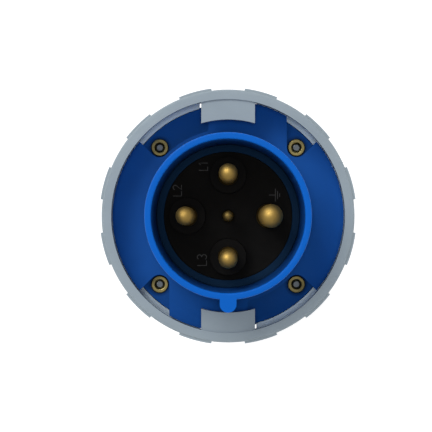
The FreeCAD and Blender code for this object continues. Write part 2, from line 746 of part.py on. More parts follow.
def terminal_block():
    """Moulded rear insulator: a round block with a bay for each terminal, open at the side for
    the clamp screws, and a deep relief between each terminal and the next."""
    body = new_body("terminal_block")
    turned(body, "core", stack_of_radii(("carrier_r", "block_front"), ("carrier_r", "block_back")))
    bays = new_sketch(body, "bay_outlines", "XY_Plane", "block_back")
    circle(bays, "pin_circle_r", "0", "barrel_r + barrel_fit")
    bay = pocket(body, "bay", bays, "block_length")
    mouths = new_sketch(body, "mouth_outline", "XY_Plane", "block_back")
    outline(mouths, [
        ("pin_circle_r", "-bay_width / 2"),
        ("carrier_r + barrel_r", "-bay_width / 2"),
        ("carrier_r + barrel_r", "bay_width / 2"),
        ("pin_circle_r", "bay_width / 2"),
    ])
    mouth = pocket(body, "mouth", mouths, "block_length")
    relief = new_sketch(body, "relief_outline", "XY_Plane", "block_back")
    along, half = "relief_start_r / sqrt(2)", "relief_width / sqrt(8)"
    far = "(carrier_r + relief_width) / sqrt(2)"
    outline(relief, [
        (f"{along} + {half}", f"{along} - {half}"),
        (f"{far} + {half}", f"{far} - {half}"),
        (f"{far} - {half}", f"{far} + {half}"),
        (f"{along} - {half}", f"{along} + {half}"),
    ])
    notch = pocket(body, "relief", relief, "block_length")
    ring_of(body, "quarters", [bay, mouth, notch], QUARTER_TURNS)
    pilot = new_sketch(body, "pilot_pocket_outline", "XY_Plane", "block_back")
    circle(pilot, "0", "0", "pilot_barrel_r + barrel_fit")
    pocket(body, "pilot_pocket", pilot, "block_length")
    # A round opening from one relief gives a screwdriver access to the pilot's clamp screw.
    access = new_sketch(body, "pilot_access_outline", "YZ_Plane")
    access.AttachmentOffset = FreeCAD.Placement(
        FreeCAD.Vector(0, 0, 0), FreeCAD.Rotation(FreeCAD.Vector(0, 1, 0), 135))
    circle(access, "0", "block_back + clamp_screw_low", "pilot_screw_r + barrel_fit")
    pocket(body, "pilot_access", access, "relief_start_r + relief_width / 2")
    screws = new_sketch(body, "screw_holes", "XY_Plane", "block_back")
    circle(screws, *polar("plate_screw_circle_r", "45"), "plate_screw_r + barrel_fit")
    hole = pocket(body, "screw_hole", screws, "block_length")
    ring_of(body, "screw_hole_ring", [hole], HALF_TURNS)


def contact_pins():
    """Turned brass pins, each with a rounded tip, a thicker shank in the carrier and a terminal
    barrel for the wire. The shank ends flush with the carrier's face or collar."""
    for name, angle in PIN_ANGLES.items():
        radius, shank = ("phase_pin_r", "phase_shank_r") if angle else ("earth_pin_r", "earth_shank_r")
        shank_top = "ledge_front + collar_height" if angle else "ledge_front"
        body = new_body(name)
        barrel_end = "block_back + barrel_play"
        barrel_top = "block_front - barrel_play"
        wire_top = f"{barrel_end} + wire_depth"
        turned(body, "blank", [
            *domed_tip(radius, "pin_dome", "(rim - pin_recess)"),
            (radius, shank_top),
            (shank, shank_top),
            (shank, barrel_top),
            ("barrel_r", barrel_top),
            ("barrel_r", barrel_end),
            ("wire_r", barrel_end),
            ("wire_r", wire_top),
            ("0", wire_top),
        ])
        holes = new_sketch(body, "clamp_holes", "YZ_Plane")
        for step in ("0", "clamp_screw_apart"):
            circle(holes, "0", f"block_back + clamp_screw_low + {step}", "clamp_screw_r + pin_fit")
        pocket(body, "clamp_hole", holes, "2 * barrel_r")
        body.setExpression(".Placement.Base.x", bound(polar("pin_circle_r", angle)[0]))
        body.setExpression(".Placement.Base.y", bound(polar("pin_circle_r", angle)[1]))
        body.setExpression(".Placement.Rotation.Angle", f"{angle} deg")


def pilot_pin():
    """Short, thin pin in the middle, which makes contact last and breaks it first."""
    body = new_body("pilot_pin")
    barrel_end = "block_back + barrel_play"
    barrel_top = "block_front - barrel_play"
    wire_top = f"{barrel_end} + pilot_wire_depth"
    turned(body, "blank", [
        *domed_tip("pilot_r", "pilot_dome", "(rim - pilot_recess)"),
        ("pilot_r", "ledge_front"),
        ("pilot_shank_r", "ledge_front"),
        ("pilot_shank_r", barrel_top),
        ("pilot_barrel_r", barrel_top),
        ("pilot_barrel_r", barrel_end),
        ("pilot_wire_r", barrel_end),
        ("pilot_wire_r", wire_top),
        ("0", wire_top),
    ])
    hole = new_sketch(body, "clamp_hole_outline", "YZ_Plane")
    circle(hole, "0", "block_back + clamp_screw_low", "pilot_screw_r + pin_fit")
    pocket(body, "clamp_hole", hole, "2 * pilot_barrel_r")
    body.setExpression(".Placement.Rotation.Angle", "135 deg")


def level_screw(body, name, start, length, radius, level, socket_r, socket_depth):
    """A headless screw that lies along X, its slotless socket at the outer end."""
    end = f"({start} + {length})"
    bevel = f"({radius} / 4)"
    return turned(body, name, [
        (start, level),
        (start, f"{level} + {radius} - {bevel}"),
        (f"{start} + {bevel}", f"{level} + {radius}"),
        (end, f"{level} + {radius}"),
        (end, f"{level} + {socket_r}"),
        (f"{end} - {socket_depth}", f"{level} + {socket_r}"),
        (f"{end} - {socket_depth}", level),
    ], up=level)


def clamp_screws():
    """Headless screws in the side of the terminal barrels, backed out to let the wires in."""
    body = new_body("terminal_screws")
    start = "(pin_circle_r + wire_r + clamp_screw_gap)"
    screws = []
    for number, step in enumerate(("0", "clamp_screw_apart")):
        level = f"(block_back + clamp_screw_low + {step})"
        screws.append(level_screw(body, f"screw_{number}", start, "clamp_screw_length",
                                  "clamp_screw_r", level, "clamp_socket_r", "clamp_socket_depth"))
    ring_of(body, "screws", screws, QUARTER_TURNS)
    pilot = new_body("pilot_screw")
    level_screw(pilot, "screw", "(pilot_wire_r + clamp_screw_gap)", "pilot_screw_length",
                "pilot_screw_r", "(block_back + clamp_screw_low)", "pilot_socket_r",
                "pilot_socket_depth")
    pilot.setExpression(".Placement.Rotation.Angle", "135 deg")


def carrier_back_plate():
    """Plate behind the block: it keeps the terminals in their bays and lets the wires through."""
    body = new_body("carrier_back_plate")
    turned(body, "disc", stack_of_radii(("carrier_r", "block_back"), ("carrier_r", "plate_back")))
    notches = new_sketch(body, "notch_outline", "XY_Plane", "plate_back")
    outline(notches, [
        ("carrier_r + barrel_r", "-bay_width / 2"),
        ("carrier_r + barrel_r", "bay_width / 2"),
        ("pin_circle_r", "bay_width / 2"),
        ("pin_circle_r - bay_width / 2", "0", "bay_width / 2", 1),
        ("pin_circle_r", "-bay_width / 2", "bay_width / 2", 1),
    ])
    notch = pocket(body, "notch", notches, "plate_thick")
    ring_of(body, "notches", [notch], QUARTER_TURNS)
    middle = new_sketch(body, "pilot_passage_outline", "XY_Plane", "plate_back")
    circle(middle, "0", "0", "pilot_passage_r")
    pocket(body, "pilot_passage", middle, "plate_thick")
    screws = new_sketch(body, "screw_holes", "XY_Plane", "plate_back")
    circle(screws, *polar("plate_screw_circle_r", "45"), "plate_screw_r + barrel_fit")
    hole = pocket(body, "screw_hole", screws, "plate_thick")
    ring_of(body, "screw_hole_ring", [hole], HALF_TURNS)


def carrier_screws():
    """Two long screws that hold the back plate and the block to the carrier."""
    body = new_body("carrier_screws")
    tip = "block_front + plate_screw_grip"
    screw = turned(body, "screw", [
        ("plate_screw_circle_r", "plate_back - plate_screw_head"),
        ("plate_screw_circle_r + plate_screw_head_r", "plate_back - plate_screw_head"),
        ("plate_screw_circle_r + plate_screw_head_r", "plate_back"),
        ("plate_screw_circle_r + plate_screw_r", "plate_back"),
        ("plate_screw_circle_r + plate_screw_r", f"{tip} - plate_screw_r"),
        ("plate_screw_circle_r", tip),
    ], across="plate_screw_circle_r")
    ring_of(body, "screws", [screw], HALF_TURNS)
    body.setExpression(".Placement.Rotation.Angle", "45 deg")


def retaining_clip():
    """Split ring of spring steel in the spigot's groove, which keeps the carrier on the ledge."""
    body = new_body("retaining_clip")
    top = "carrier_flange_back - clip_play"
    turned(body, "ring", [
        ("clip_r - clip_width", top),
        ("clip_r", top),
        ("clip_r", f"{top} - clip_thick"),
        ("clip_r - clip_width", f"{top} - clip_thick"),
    ])
    mouth = new_sketch(body, "mouth_outline", "XY_Plane", f"{top} - clip_thick")
    outline(mouth, [
        ("-clip_mouth / 2", "-(clip_r - 2 * clip_width)"),
        ("-clip_mouth / 2", "-(clip_r + clip_width)"),
        ("clip_mouth / 2", "-(clip_r + clip_width)"),
        ("clip_mouth / 2", "-(clip_r - 2 * clip_width)"),
    ])
    pocket(body, "mouth", mouth, "clip_thick")


def gland_seal():
    """Rubber sleeve that the gland squeezes onto the cable."""
    body = new_body("gland_seal")
    outer = "(neck_bore_r - gland_seal_fit)"
    low = "(cage_tip + gland_seal_gap)"
    high = "(neck_top - gland_seal_gap)"
    turned(body, "sleeve", [
        ("gland_seal_bore_r", f"{low} + gland_seal_chamfer"),
        ("gland_seal_bore_r", f"{high} - gland_seal_chamfer"),
        ("gland_seal_bore_r + gland_seal_chamfer", high),
        (f"{outer} - gland_seal_chamfer", high),
        (outer, f"{high} - gland_seal_chamfer"),
        (outer, f"{low} + gland_seal_chamfer"),
        (f"{outer} - gland_seal_chamfer", low),
        ("gland_seal_bore_r + gland_seal_chamfer", low),
    ])


def clamping_cage():
    """Ring with slit fingers that the nut pushes into the neck."""
    body = new_body("clamping_cage")
    flange_top = "(cage_back + cage_flange)"
    turned(body, "shell", [
        ("cage_inner_r", "cage_back"),
        ("nut_bore_r - washer_fit", "cage_back"),
        ("nut_bore_r - washer_fit", flange_top),
        ("cage_outer_r", flange_top),
        ("cage_outer_r", "cage_tip - 2 * cage_tip_bevel"),
        ("cage_outer_r - cage_tip_bevel", "cage_tip"),
        ("cage_inner_r", "cage_tip"),
    ])
    slot = new_sketch(body, "slot_outline", "XY_Plane", flange_top)
    outline(slot, [
        ("cage_inner_r / 2", "-cage_slot / 2"),
        ("neck_bore_r", "-cage_slot / 2"),
        ("neck_bore_r", "cage_slot / 2"),
        ("cage_inner_r / 2", "cage_slot / 2"),
    ])
    cut = pocket(body, "slot", slot, "cage_finger")
    ring_of(body, "slots", [cut], "cage_slot_count")


def thrust_washer():
    """Flat ring between the turning nut and the cage, which only slides."""
    body = new_body("thrust_washer")
    turned(body, "ring", [
        ("washer_bore_r", "nut_floor + nut_play"),
        ("nut_bore_r - washer_fit", "nut_floor + nut_play"),
        ("nut_bore_r - washer_fit", "cage_back"),
        ("washer_bore_r", "cage_back"),
    ])


def gland_nut():
    """Moulded cap nut with grip flutes and a round mouth for the cable."""
    body = new_body("gland_nut")
    turned(body, "shell", [
        ("nut_mouth_r + nut_edge", "0"),
        ("nut_r - nut_round", "0"),
        ("nut_r", "nut_round", "nut_round", 1),
        ("nut_r", "nut_length - nut_edge"),
        ("nut_r - nut_edge", "nut_length"),
        ("nut_bore_r", "nut_length"),
        ("nut_bore_r", "nut_floor"),
        ("nut_mouth_r", "nut_floor"),
        ("nut_mouth_r", "nut_edge"),
    ])
    flute_sketch = new_sketch(body, "flute_outline", "XY_Plane", "nut_flute_start")
    circle(flute_sketch, "nut_r + nut_flute_r - nut_flute_depth", "0", "nut_flute_r")
    flute = pocket(body, "flute", flute_sketch, "nut_length")
    ring_of(body, "flutes", [flute], "nut_flute_count")


for build in (front_housing, threaded_inserts, assembly_screws, locking_ring, rear_housing,
              housing_seal, contact_carrier, terminal_block, contact_pins, pilot_pin, clamp_screws,
              carrier_back_plate, carrier_screws, retaining_clip, gland_seal, clamping_cage,
              thrust_washer, gland_nut):
    build()
doc.recompute()

faults = [f"{item.Name} {item.State}" for item in doc.Objects if {"Invalid", "Error"} & set(item.State)]
bodies = [item for item in doc.Objects if item.TypeId == "PartDesign::Body"]
faults += [item.Label for item in bodies if item.Shape.isNull() or not item.Shape.isValid()]
if faults:
    raise RuntimeError(f"failed: {faults}")

os.makedirs("parts", exist_ok=True)
for item in bodies:
    item.Shape.exportStep(f"parts/{item.Label}.step")
    box = item.Shape.BoundBox
    print(f"{item.Label}: {len(item.Shape.Solids)} solids, {item.Shape.Volume:.1f} mm3, "
          f"Z {box.ZMin:.2f} to {box.ZMax:.2f}")
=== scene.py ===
import json
import math

import bmesh
import bpy
import numpy as np
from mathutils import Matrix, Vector


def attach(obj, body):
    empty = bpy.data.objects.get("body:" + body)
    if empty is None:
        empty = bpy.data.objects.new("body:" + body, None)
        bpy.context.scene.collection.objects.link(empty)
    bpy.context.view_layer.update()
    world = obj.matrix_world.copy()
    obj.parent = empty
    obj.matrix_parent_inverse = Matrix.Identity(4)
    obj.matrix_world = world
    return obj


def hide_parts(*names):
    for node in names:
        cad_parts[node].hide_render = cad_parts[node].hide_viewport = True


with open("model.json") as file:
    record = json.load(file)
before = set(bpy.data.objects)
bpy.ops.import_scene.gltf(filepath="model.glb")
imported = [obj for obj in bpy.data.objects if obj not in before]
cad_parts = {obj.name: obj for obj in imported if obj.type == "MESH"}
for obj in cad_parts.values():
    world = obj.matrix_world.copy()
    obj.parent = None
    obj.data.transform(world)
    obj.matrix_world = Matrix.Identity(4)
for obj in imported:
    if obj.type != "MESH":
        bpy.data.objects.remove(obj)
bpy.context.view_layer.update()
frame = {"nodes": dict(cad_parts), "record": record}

# An industrial pin and sleeve plug stands on its gland nut with the pins up, in metres.
# The axis is Z, the earth pin is at +X and the key of the sleeve at -Y.


# Front housing: one moulding of blue glass-filled nylon with the sleeve and its key, the flange
# that the locking ring turns on and the spigot behind it. The tool's edges are slightly rounded,
# and the skin is satin with a very fine grain.
BLUE = (0.0080, 0.087, 0.364, 1)
BLUE_DEEP = (0.0070, 0.074, 0.310, 1)
# Painted light: the sleeve's rim is a brighter blue than the rest of the moulding.
RIM_PAINTED_LIGHT_BLUE = (0.0021, 0.110, 0.507, 1)
# Painted shade: a dark colour at the foot of the sleeve's bore.
BORE_PAINTED_SHADE = (0.0056, 0.026, 0.062, 1)
# Painted shade in the flange's pockets, and darker painted shade at their walls and round each insert.
POCKET_PAINTED_SHADE = 0.84
CORNER_PAINTED_SHADE = 0.38
POCKET_FLOOR = (0.1835, 0.1837)
ZONE_FRONT = (0.1876, 0.1880)
INSERT_ACROSS = 0.0307
INSERT_SHADE_SPAN = (0.0040, 0.0056)
BORE_FOOT = (0.180, 0.200)
SLEEVE_WALL = (0.0325, 0.0335)
SLEEVE_RIM = (0.2375, 0.2393)
FLOW_SCALE = 34.0
CLOUD_SPAN = (0.35, 0.7)
GLOSS_SCALE = 210.0
GLOSS_SPAN = (0.3, 0.7)
GLOSS_CHANGE = (-0.05, 0.06)
GRAIN_SCALE = 2600.0
GRAIN_DEPTH = 0.00002
HOUSING_EDGE = 0.00035
MERGE = 1e-6
FLAT = math.radians(0.5)
SHARP = math.radians(24)
ridden = {node: body for body, nodes in frame["record"]["behaviour"]["bodies"].items() for node in nodes}


def new_group(name, inputs, outputs):
    """An empty group of shader nodes with those sockets, and its two end nodes."""
    tree = bpy.data.node_groups.new(name, "ShaderNodeTree")
    for label, kind, default in inputs:
        tree.interface.new_socket(label, in_out="INPUT", socket_type=kind).default_value = default
    for label, kind in outputs:
        tree.interface.new_socket(label, in_out="OUTPUT", socket_type=kind)
    return tree, tree.nodes.new("NodeGroupInput").outputs, tree.nodes.new("NodeGroupOutput").inputs


def feed(tree, socket, value):
    """Give an input a value or another node's output."""
    if isinstance(value, bpy.types.NodeSocket):
        tree.links.new(value, socket)
    else:
        socket.default_value = value


def add(tree, kind, *values, settings=(), **inputs):
    """One shader node. Its inputs, by place or by name, are values or other nodes' outputs."""
    node = tree.nodes.new("ShaderNode" + kind)
    for key, value in dict(settings).items():
        setattr(node, key, value)
    for key, value in [*enumerate(values), *inputs.items()]:
        feed(tree, node.inputs[key], value)
    return node


def between(tree, share, low, high):
    """A colour between two others, at a share that changes over the surface. A Mix node has an A, a
    B and a Result for each kind of value, and those for colours are at 6, 7 and 2."""
    node = add(tree, "Mix", share, settings={"data_type": "RGBA"})
    feed(tree, node.inputs[6], low)
    feed(tree, node.inputs[7], high)
    return node.outputs[2]


def ramp(tree, value, span, low=0.0, high=1.0):
    """A number that goes from low to high as the value goes over a span, a pair of its ends."""
    return add(tree, "MapRange", value, *span, low, high).outputs[0]


def computed(tree, operation, *values):
    """The result of arithmetic on numbers or other nodes' outputs."""
    return add(tree, "Math", *values, settings={"operation": operation}).outputs[0]


def moulded_skin_group():
    """Skin of a moulded plastic: slow clouds between two tones where the melt flowed, patches of
    more and less gloss, and a fine grain from the tool's face."""
    tree, given, made = new_group("moulded_skin", [
        ("Colour", "NodeSocketColor", BLUE),
        ("Deep Colour", "NodeSocketColor", BLUE_DEEP),
        ("Roughness", "NodeSocketFloat", 0.45),
        ("Grain", "NodeSocketFloat", 0.3),
    ], [("Colour", "NodeSocketColor"), ("Roughness", "NodeSocketFloat"), ("Normal", "NodeSocketVector")])
    place = add(tree, "TexCoord").outputs["Object"]
    flow = add(tree, "TexNoise", Vector=place, Scale=FLOW_SCALE, Detail=4.0, Distortion=1.2).outputs[0]
    gloss = add(tree, "TexNoise", Vector=place, Scale=GLOSS_SCALE, Detail=3.0).outputs[0]
    grain = add(tree, "TexNoise", Vector=place, Scale=GRAIN_SCALE, Detail=2.0).outputs[0]
    clouds = ramp(tree, flow, CLOUD_SPAN)
    tree.links.new(between(tree, clouds, given["Colour"], given["Deep Colour"]), made["Colour"])
    change = ramp(tree, gloss, GLOSS_SPAN, *GLOSS_CHANGE)
    tree.links.new(computed(tree, "ADD", given["Roughness"], change), made["Roughness"])
    bump = add(tree, "Bump", Strength=given["Grain"], Distance=GRAIN_DEPTH, Height=grain)
    tree.links.new(bump.outputs[0], made["Normal"])
    return tree


moulded_skin = moulded_skin_group()


def skinned(name, group, given, plain):
    """A material whose colour, gloss and relief come from a skin group with the given inputs, apart
    from the plain inputs of its surface, which have the same value all over."""
    material = bpy.data.materials.new(name)
    material.use_nodes = True
    tree = material.node_tree
    skin = tree.nodes.new("ShaderNodeGroup")
    skin.node_tree = group
    for key, setting in given.items():
        skin.inputs[key].default_value = setting
    surface = tree.nodes["Principled BSDF"]
    for key, setting in plain.items():
        surface.inputs[key].default_value = setting
    for source, target in (("Colour", "Base Color"), ("Roughness", "Roughness"), ("Normal", "Normal")):
        if target not in plain:
            tree.links.new(skin.outputs[source], surface.inputs[target])
    return material


def moulded(name, colour, deep, roughness, grain, specular):
    """A material of moulded plastic."""
    given = {"Colour": colour, "Deep Colour": deep, "Roughness": roughness, "Grain": grain}
    return skinned(name, moulded_skin, given, {"Specular IOR Level": specular})


def eased(node, edge, material):
    """A copy of a CAD node as its tool leaves it: the loose triangles are merged, those of one flat
    face become one face, and every edge sharper than SHARP is rounded over a width of `edge`."""
    shape = bmesh.new()
    shape.from_mesh(frame["nodes"][node].data)
    bmesh.ops.remove_doubles(shape, verts=shape.verts, dist=MERGE)
    bmesh.ops.dissolve_limit(shape, angle_limit=FLAT, verts=shape.verts, edges=shape.edges)
    mesh = bpy.data.meshes.new(node + "_eased")
    shape.to_mesh(mesh)
    shape.free()
    if "custom_normal" in mesh.attributes:
        mesh.attributes.remove(mesh.attributes["custom_normal"])
    mesh.shade_smooth()
    mesh.materials.clear()
    mesh.materials.append(material)
    piece = bpy.data.objects.new(node + "_eased", mesh)
    bpy.context.scene.collection.objects.link(piece)
    bevel = piece.modifiers.new("rounded_edges", "BEVEL")
    bevel.width = edge
    bevel.segments = 2
    bevel.limit_method = "ANGLE"
    bevel.angle_limit = SHARP
    bevel.harden_normals = True
    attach(piece, ridden[node])
    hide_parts(node)
    return piece


def place_of(tree):
    """Where a point of the surface is, as three node outputs: X, Y and its height."""
    return add(tree, "SeparateXYZ", add(tree, "TexCoord").outputs["Object"]).outputs


def length_of(tree, x, y):
    """How long a level vector is, as a node output. That of a place is its distance from the axis."""
    level = add(tree, "CombineXYZ", x, y).outputs[0]
    return add(tree, "VectorMath", level, settings={"operation": "LENGTH"}).outputs["Value"]


def toned(material, tone):
    """Multiply the colour of a material's skin by a tone that changes over the surface."""
    tree = material.node_tree
    surface = tree.nodes["Principled BSDF"].inputs["Base Color"]
    colour = surface.links[0].from_socket
    scaled = add(tree, "VectorMath", colour, Scale=tone, settings={"operation": "SCALE"})
    tree.links.new(scaled.outputs[0], surface)


def front_painted_light():
    """The front housing's material. Painted light makes the rim of the sleeve a brighter blue. Painted
    shade darkens the foot of its bore, the flange's pockets, their walls and the corner round each
    insert, which is at INSERT_ACROSS both ways."""
    material = moulded("blue_front", BLUE, BLUE_DEEP, roughness=0.45, grain=0.25, specular=0.1)
    tree = material.node_tree
    x, y, height = place_of(tree)
    # Painted shade: the pockets, their walls and the corner round each insert are darkened.
    beside = [computed(tree, "SUBTRACT", computed(tree, "ABSOLUTE", value), INSERT_ACROSS)
              for value in (x, y)]
    corner = ramp(tree, length_of(tree, *beside), INSERT_SHADE_SPAN, CORNER_PAINTED_SHADE, 1.0)
    pocket = computed(tree, "MULTIPLY", ramp(tree, height, POCKET_FLOOR, POCKET_PAINTED_SHADE, CORNER_PAINTED_SHADE), corner)
    toned(material, computed(tree, "MAXIMUM", pocket, ramp(tree, height, ZONE_FRONT)))
    # Painted shade darkens the foot of the sleeve's bore, inside its wall.
    outside = ramp(tree, length_of(tree, x, y), SLEEVE_WALL)
    beyond_bore_shade = computed(tree, "MAXIMUM", ramp(tree, height, BORE_FOOT), outside)
    surface = tree.nodes["Principled BSDF"].inputs["Base Color"]
    below = between(tree, beyond_bore_shade, BORE_PAINTED_SHADE, surface.links[0].from_socket)
    # Painted light: the top of the sleeve's rim is given the brighter blue.
    tree.links.new(between(tree, ramp(tree, height, SLEEVE_RIM), below, RIM_PAINTED_LIGHT_BLUE), surface)
    return material


eased("front_housing", HOUSING_EDGE, front_painted_light())


# Locking ring: one moulding of grey nylon that turns on the flange. Twelve grip lands stand on
# its outside, two ramped lugs reach in at the front, and a hooked rim holds it from behind.
GREY = (0.305, 0.363, 0.403, 1)
GREY_DEEP = (0.282, 0.337, 0.376, 1)
GREY_SKIN = {"colour": GREY, "deep": GREY_DEEP, "roughness": 0.5, "grain": 0.35, "specular": 0.15}
# Painted light: the shaded inside of the ring behind its lugs is made paler, less on the side that the key
# light reaches.
HOOK_PAINTED_LIGHT = 2.4
HOOK_INSIDE = (0.0530, 0.0532)
HOOK_BEHIND = (0.1985, 0.1995)
LAMP_LIT_SIDE = (-0.616, -0.788, 0)
LAMP_LIT_SIDE_TONE = 1.45
LAMP_LIT_SIDE_SPAN = (0.044, 0.051)
RING_EDGE = 0.0004


def painted_light_band_ring():
    """The ring's material: the skin's colour times a tone that is high inside the ring behind its lugs, as
    painted light on a band that lies in shade there, least on the side that the key light reaches."""
    material = moulded("grey_ring", **GREY_SKIN)
    tree = material.node_tree
    x, y, height = place_of(tree)
    inside = ramp(tree, length_of(tree, x, y), HOOK_INSIDE, 1.0, 0.0)
    # Painted light on the shaded band inside the ring behind its lugs.
    painted_light_band = computed(tree, "MULTIPLY", inside, ramp(tree, height, HOOK_BEHIND, 1.0, 0.0))
    place = add(tree, "TexCoord").outputs["Object"]
    side = add(tree, "VectorMath", place, LAMP_LIT_SIDE, settings={"operation": "DOT_PRODUCT"})
    pale = ramp(tree, side.outputs["Value"], LAMP_LIT_SIDE_SPAN, HOOK_PAINTED_LIGHT, LAMP_LIT_SIDE_TONE)
    toned(material, ramp(tree, painted_light_band, (0.0, 1.0), 1.0, pale))
    return material


eased("locking_ring", RING_EDGE, painted_light_band_ring())


# Rear housing: the shell behind the ring, moulded from the same blue nylon and screwed to the front
# housing. Its tapered side carries grip ribs and ends in a threaded neck for the gland nut.
REAR_EDGE = 0.0005
THREAD_PITCH = 0.003
THREAD_HEIGHT = 0.00022
THREAD_WIDTH = 0.0016
THREAD_SINK = 0.00015
THREAD_STEPS = 96
THREAD_COLUMNS = 7
THREAD_RUN_OUT = 0.5
NECK_R = 0.026
NECK_START = 0.0112
NECK_LENGTH = 0.0310

blue_nylon = moulded("blue_nylon", BLUE, BLUE_DEEP, roughness=0.42, grain=0.25, specular=0.15)
eased("rear_housing", REAR_EDGE, blue_nylon)


def bar_mesh(name, points, material, body):
    """A closed bar whose surface is a grid of points, rows by columns by three. Each row is one
    section, whose last point is joined to its first, and both end sections are closed by a face."""
    rows, columns = points.shape[:2]
    section = np.arange(rows * columns).reshape(rows, columns)
    ring = np.hstack([section, section[:, :1]])
    sides = np.stack([ring[:-1, :-1], ring[:-1, 1:], ring[1:, 1:], ring[1:, :-1]], axis=-1)
    ends = [section[0, ::-1].tolist(), section[-1].tolist()]
    mesh = bpy.data.meshes.new(name)
    mesh.from_pydata(points.reshape(-1, 3).tolist(), [], sides.reshape(-1, 4).tolist() + ends)
    mesh.shade_smooth()
    mesh.set_sharp_from_angle(angle=SHARP)
    mesh.materials.append(material)
    piece = bpy.data.objects.new(name, mesh)
    bpy.context.scene.collection.objects.link(piece)
    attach(piece, body)
    return piece


def thread():
    """A ridge wound round the neck. At a turn of t it is at the angle 2 pi t and the height
    pitch t, and its section is a low hill on a flat foot: half a cosine across the ridge's width.
    It rises from under the neck's skin over its first THREAD_RUN_OUT turns and sinks back over as
    many at the end."""
    turns = NECK_LENGTH / THREAD_PITCH
    t = np.linspace(0, turns, int(turns * THREAD_STEPS))[:, None]
    across = np.linspace(0.5, -0.5, THREAD_COLUMNS)[None, :]
    rise = np.clip(np.minimum(t, turns - t) / THREAD_RUN_OUT, 0, 1)
    radius = NECK_R - THREAD_SINK + (THREAD_HEIGHT + THREAD_SINK) * np.cos(across * math.pi) * rise
    angle = 2 * math.pi * t
    height = NECK_START + THREAD_PITCH * t + THREAD_WIDTH * across
    return np.stack([radius * np.cos(angle), radius * np.sin(angle), height], axis=-1)


bar_mesh("neck_thread", thread(), blue_nylon, "housing")


# Insulators: the contact carrier that shows in the sleeve, the block behind it and its back plate
# are moulded from black thermoset, and two long screws hold them together. Their edges are small,
# and their skin is dull, with the deepest grain of all.
BLACK = (0.0086, 0.0081, 0.0074, 1)
BLACK_DEEP = (0.0066, 0.0062, 0.0058, 1)
INSULATOR_EDGE = 0.0002

black_thermoset = moulded("black_thermoset", BLACK, BLACK_DEEP, roughness=0.62, grain=0.5, specular=0.12)
for insulator in ("contact_carrier", "terminal_block", "carrier_back_plate"):
    eased(insulator, INSULATOR_EDGE, black_thermoset)


# Pole marks: thin raised lines in grey paint on the carrier's face, one mark beside each large pin.
# They read upwards when the earth pin is at the right. Each has its lower right corner, the height
# of its signs and its length, and its strokes are drawn on a sign one unit tall.
CARRIER_FACE = 0.181
MARK_GREY = (0.10, 0.10, 0.10, 1)
MARK_LINE = 0.00028
MARK_HEIGHT = 0.00006
STROKES = {
    "L": [[(0, 1), (0, 0), (0.62, 0)]],
    "1": [[(0.12, 0.78), (0.42, 1), (0.42, 0)]],
    "2": [[(0.02, 0.8), (0.1, 0.94), (0.3, 1), (0.5, 0.94), (0.58, 0.76), (0.5, 0.56), (0.02, 0),
           (0.62, 0)]],
    "3": [[(0.02, 0.86), (0.16, 0.98), (0.34, 1), (0.52, 0.92), (0.57, 0.76), (0.5, 0.6), (0.28, 0.54)],
          [(0.28, 0.54), (0.52, 0.46), (0.6, 0.27), (0.52, 0.08), (0.34, 0), (0.14, 0.02), (0, 0.15)]],
    "earth": [[(0.5, 1), (0.5, 0.42)], [(0, 0.42), (1, 0.42)], [(0.18, 0.22), (0.82, 0.22)],
              [(0.36, 0.03), (0.64, 0.03)]],
}
LETTER_WIDTH = 0.62
LETTER_STEP = 0.78
MARKS = {
    "mark_l1": ("L1", (-0.0092, 0.0206), 0.0040, 0.0038),
    "mark_l2": ("L2", (-0.0210, 0.0090), 0.0038, 0.0050),
    "mark_l3": ("L3", (-0.0097, -0.0223), 0.0042, 0.0050),
}
EARTH_MARK = ((0.0234, 0.0066), 0.0050, 0.0057)


def stroke_points(line):
    """One pen line, an array of points, as a flat bar on the carrier's face. Each point has a left
    and a right edge point, half the line's width away along the mean of its two bits' normals, and
    each edge point is given twice: just under the face, where the bar's foot is sunk, and at its
    top."""
    along = np.diff(line, axis=0)
    along /= np.linalg.norm(along, axis=1)[:, None]
    normal = np.stack([-along[:, 1], along[:, 0]], axis=1)
    mean = np.vstack([normal[:1], normal[:-1] + normal[1:], normal[-1:]])
    mean /= np.linalg.norm(mean, axis=1)[:, None]
    side = mean * MARK_LINE / 2
    low = np.full((len(line), 1), CARRIER_FACE - MARK_HEIGHT)
    high = np.full((len(line), 1), CARRIER_FACE + MARK_HEIGHT)
    section = [np.hstack([line + side, low]), np.hstack([line + side, high]),
               np.hstack([line - side, high]), np.hstack([line - side, low])]
    return np.stack(section, axis=1)


mark_paint = skinned("mark_paint", moulded_skin, {"Roughness": 0.6, "Grain": 0.2},
                     {"Base Color": MARK_GREY, "Specular IOR Level": 0.12})


def mark_line(name, line, corner, tall, wide):
    """One pen line of a mark. Its x runs along the text and its y up, and it is laid so that the
    text reads upwards: x goes to +Y and y to -X from the mark's lower right corner."""
    x, y = np.array(line).T
    placed = np.stack([corner[0] - y * tall, corner[1] + x * wide], axis=1)
    bar_mesh(name, stroke_points(placed), mark_paint, "housing")


for name, (text, corner, tall, long) in MARKS.items():
    wide = long / (LETTER_STEP + LETTER_WIDTH)
    for number, letter in enumerate(text):
        for part, line in enumerate(STROKES[letter]):
            shifted = np.array(line) + (number * LETTER_STEP, 0)
            mark_line(f"{name}_{number}{part}", shifted, corner, tall, wide)
for part, line in enumerate(STROKES["earth"]):
    mark_line(f"mark_earth_{part}", line, *EARTH_MARK)


# Contacts: turned from brass rod, with domed tips. The cutter leaves fine rings round the pin, and
# the metal is bright with a slight tarnish.
BRASS = (0.57, 0.378, 0.104, 1)
BRASS_DULL = (0.465, 0.312, 0.090, 1)
# Painted shade: the pilot pin's brass is a darker copy of the contacts' brass, for its place deep in the
# sleeve.
PILOT_SHADED_BRASS = (0.30, 0.21, 0.065, 1)
PILOT_SHADED_DULL = (0.24, 0.17, 0.06, 1)
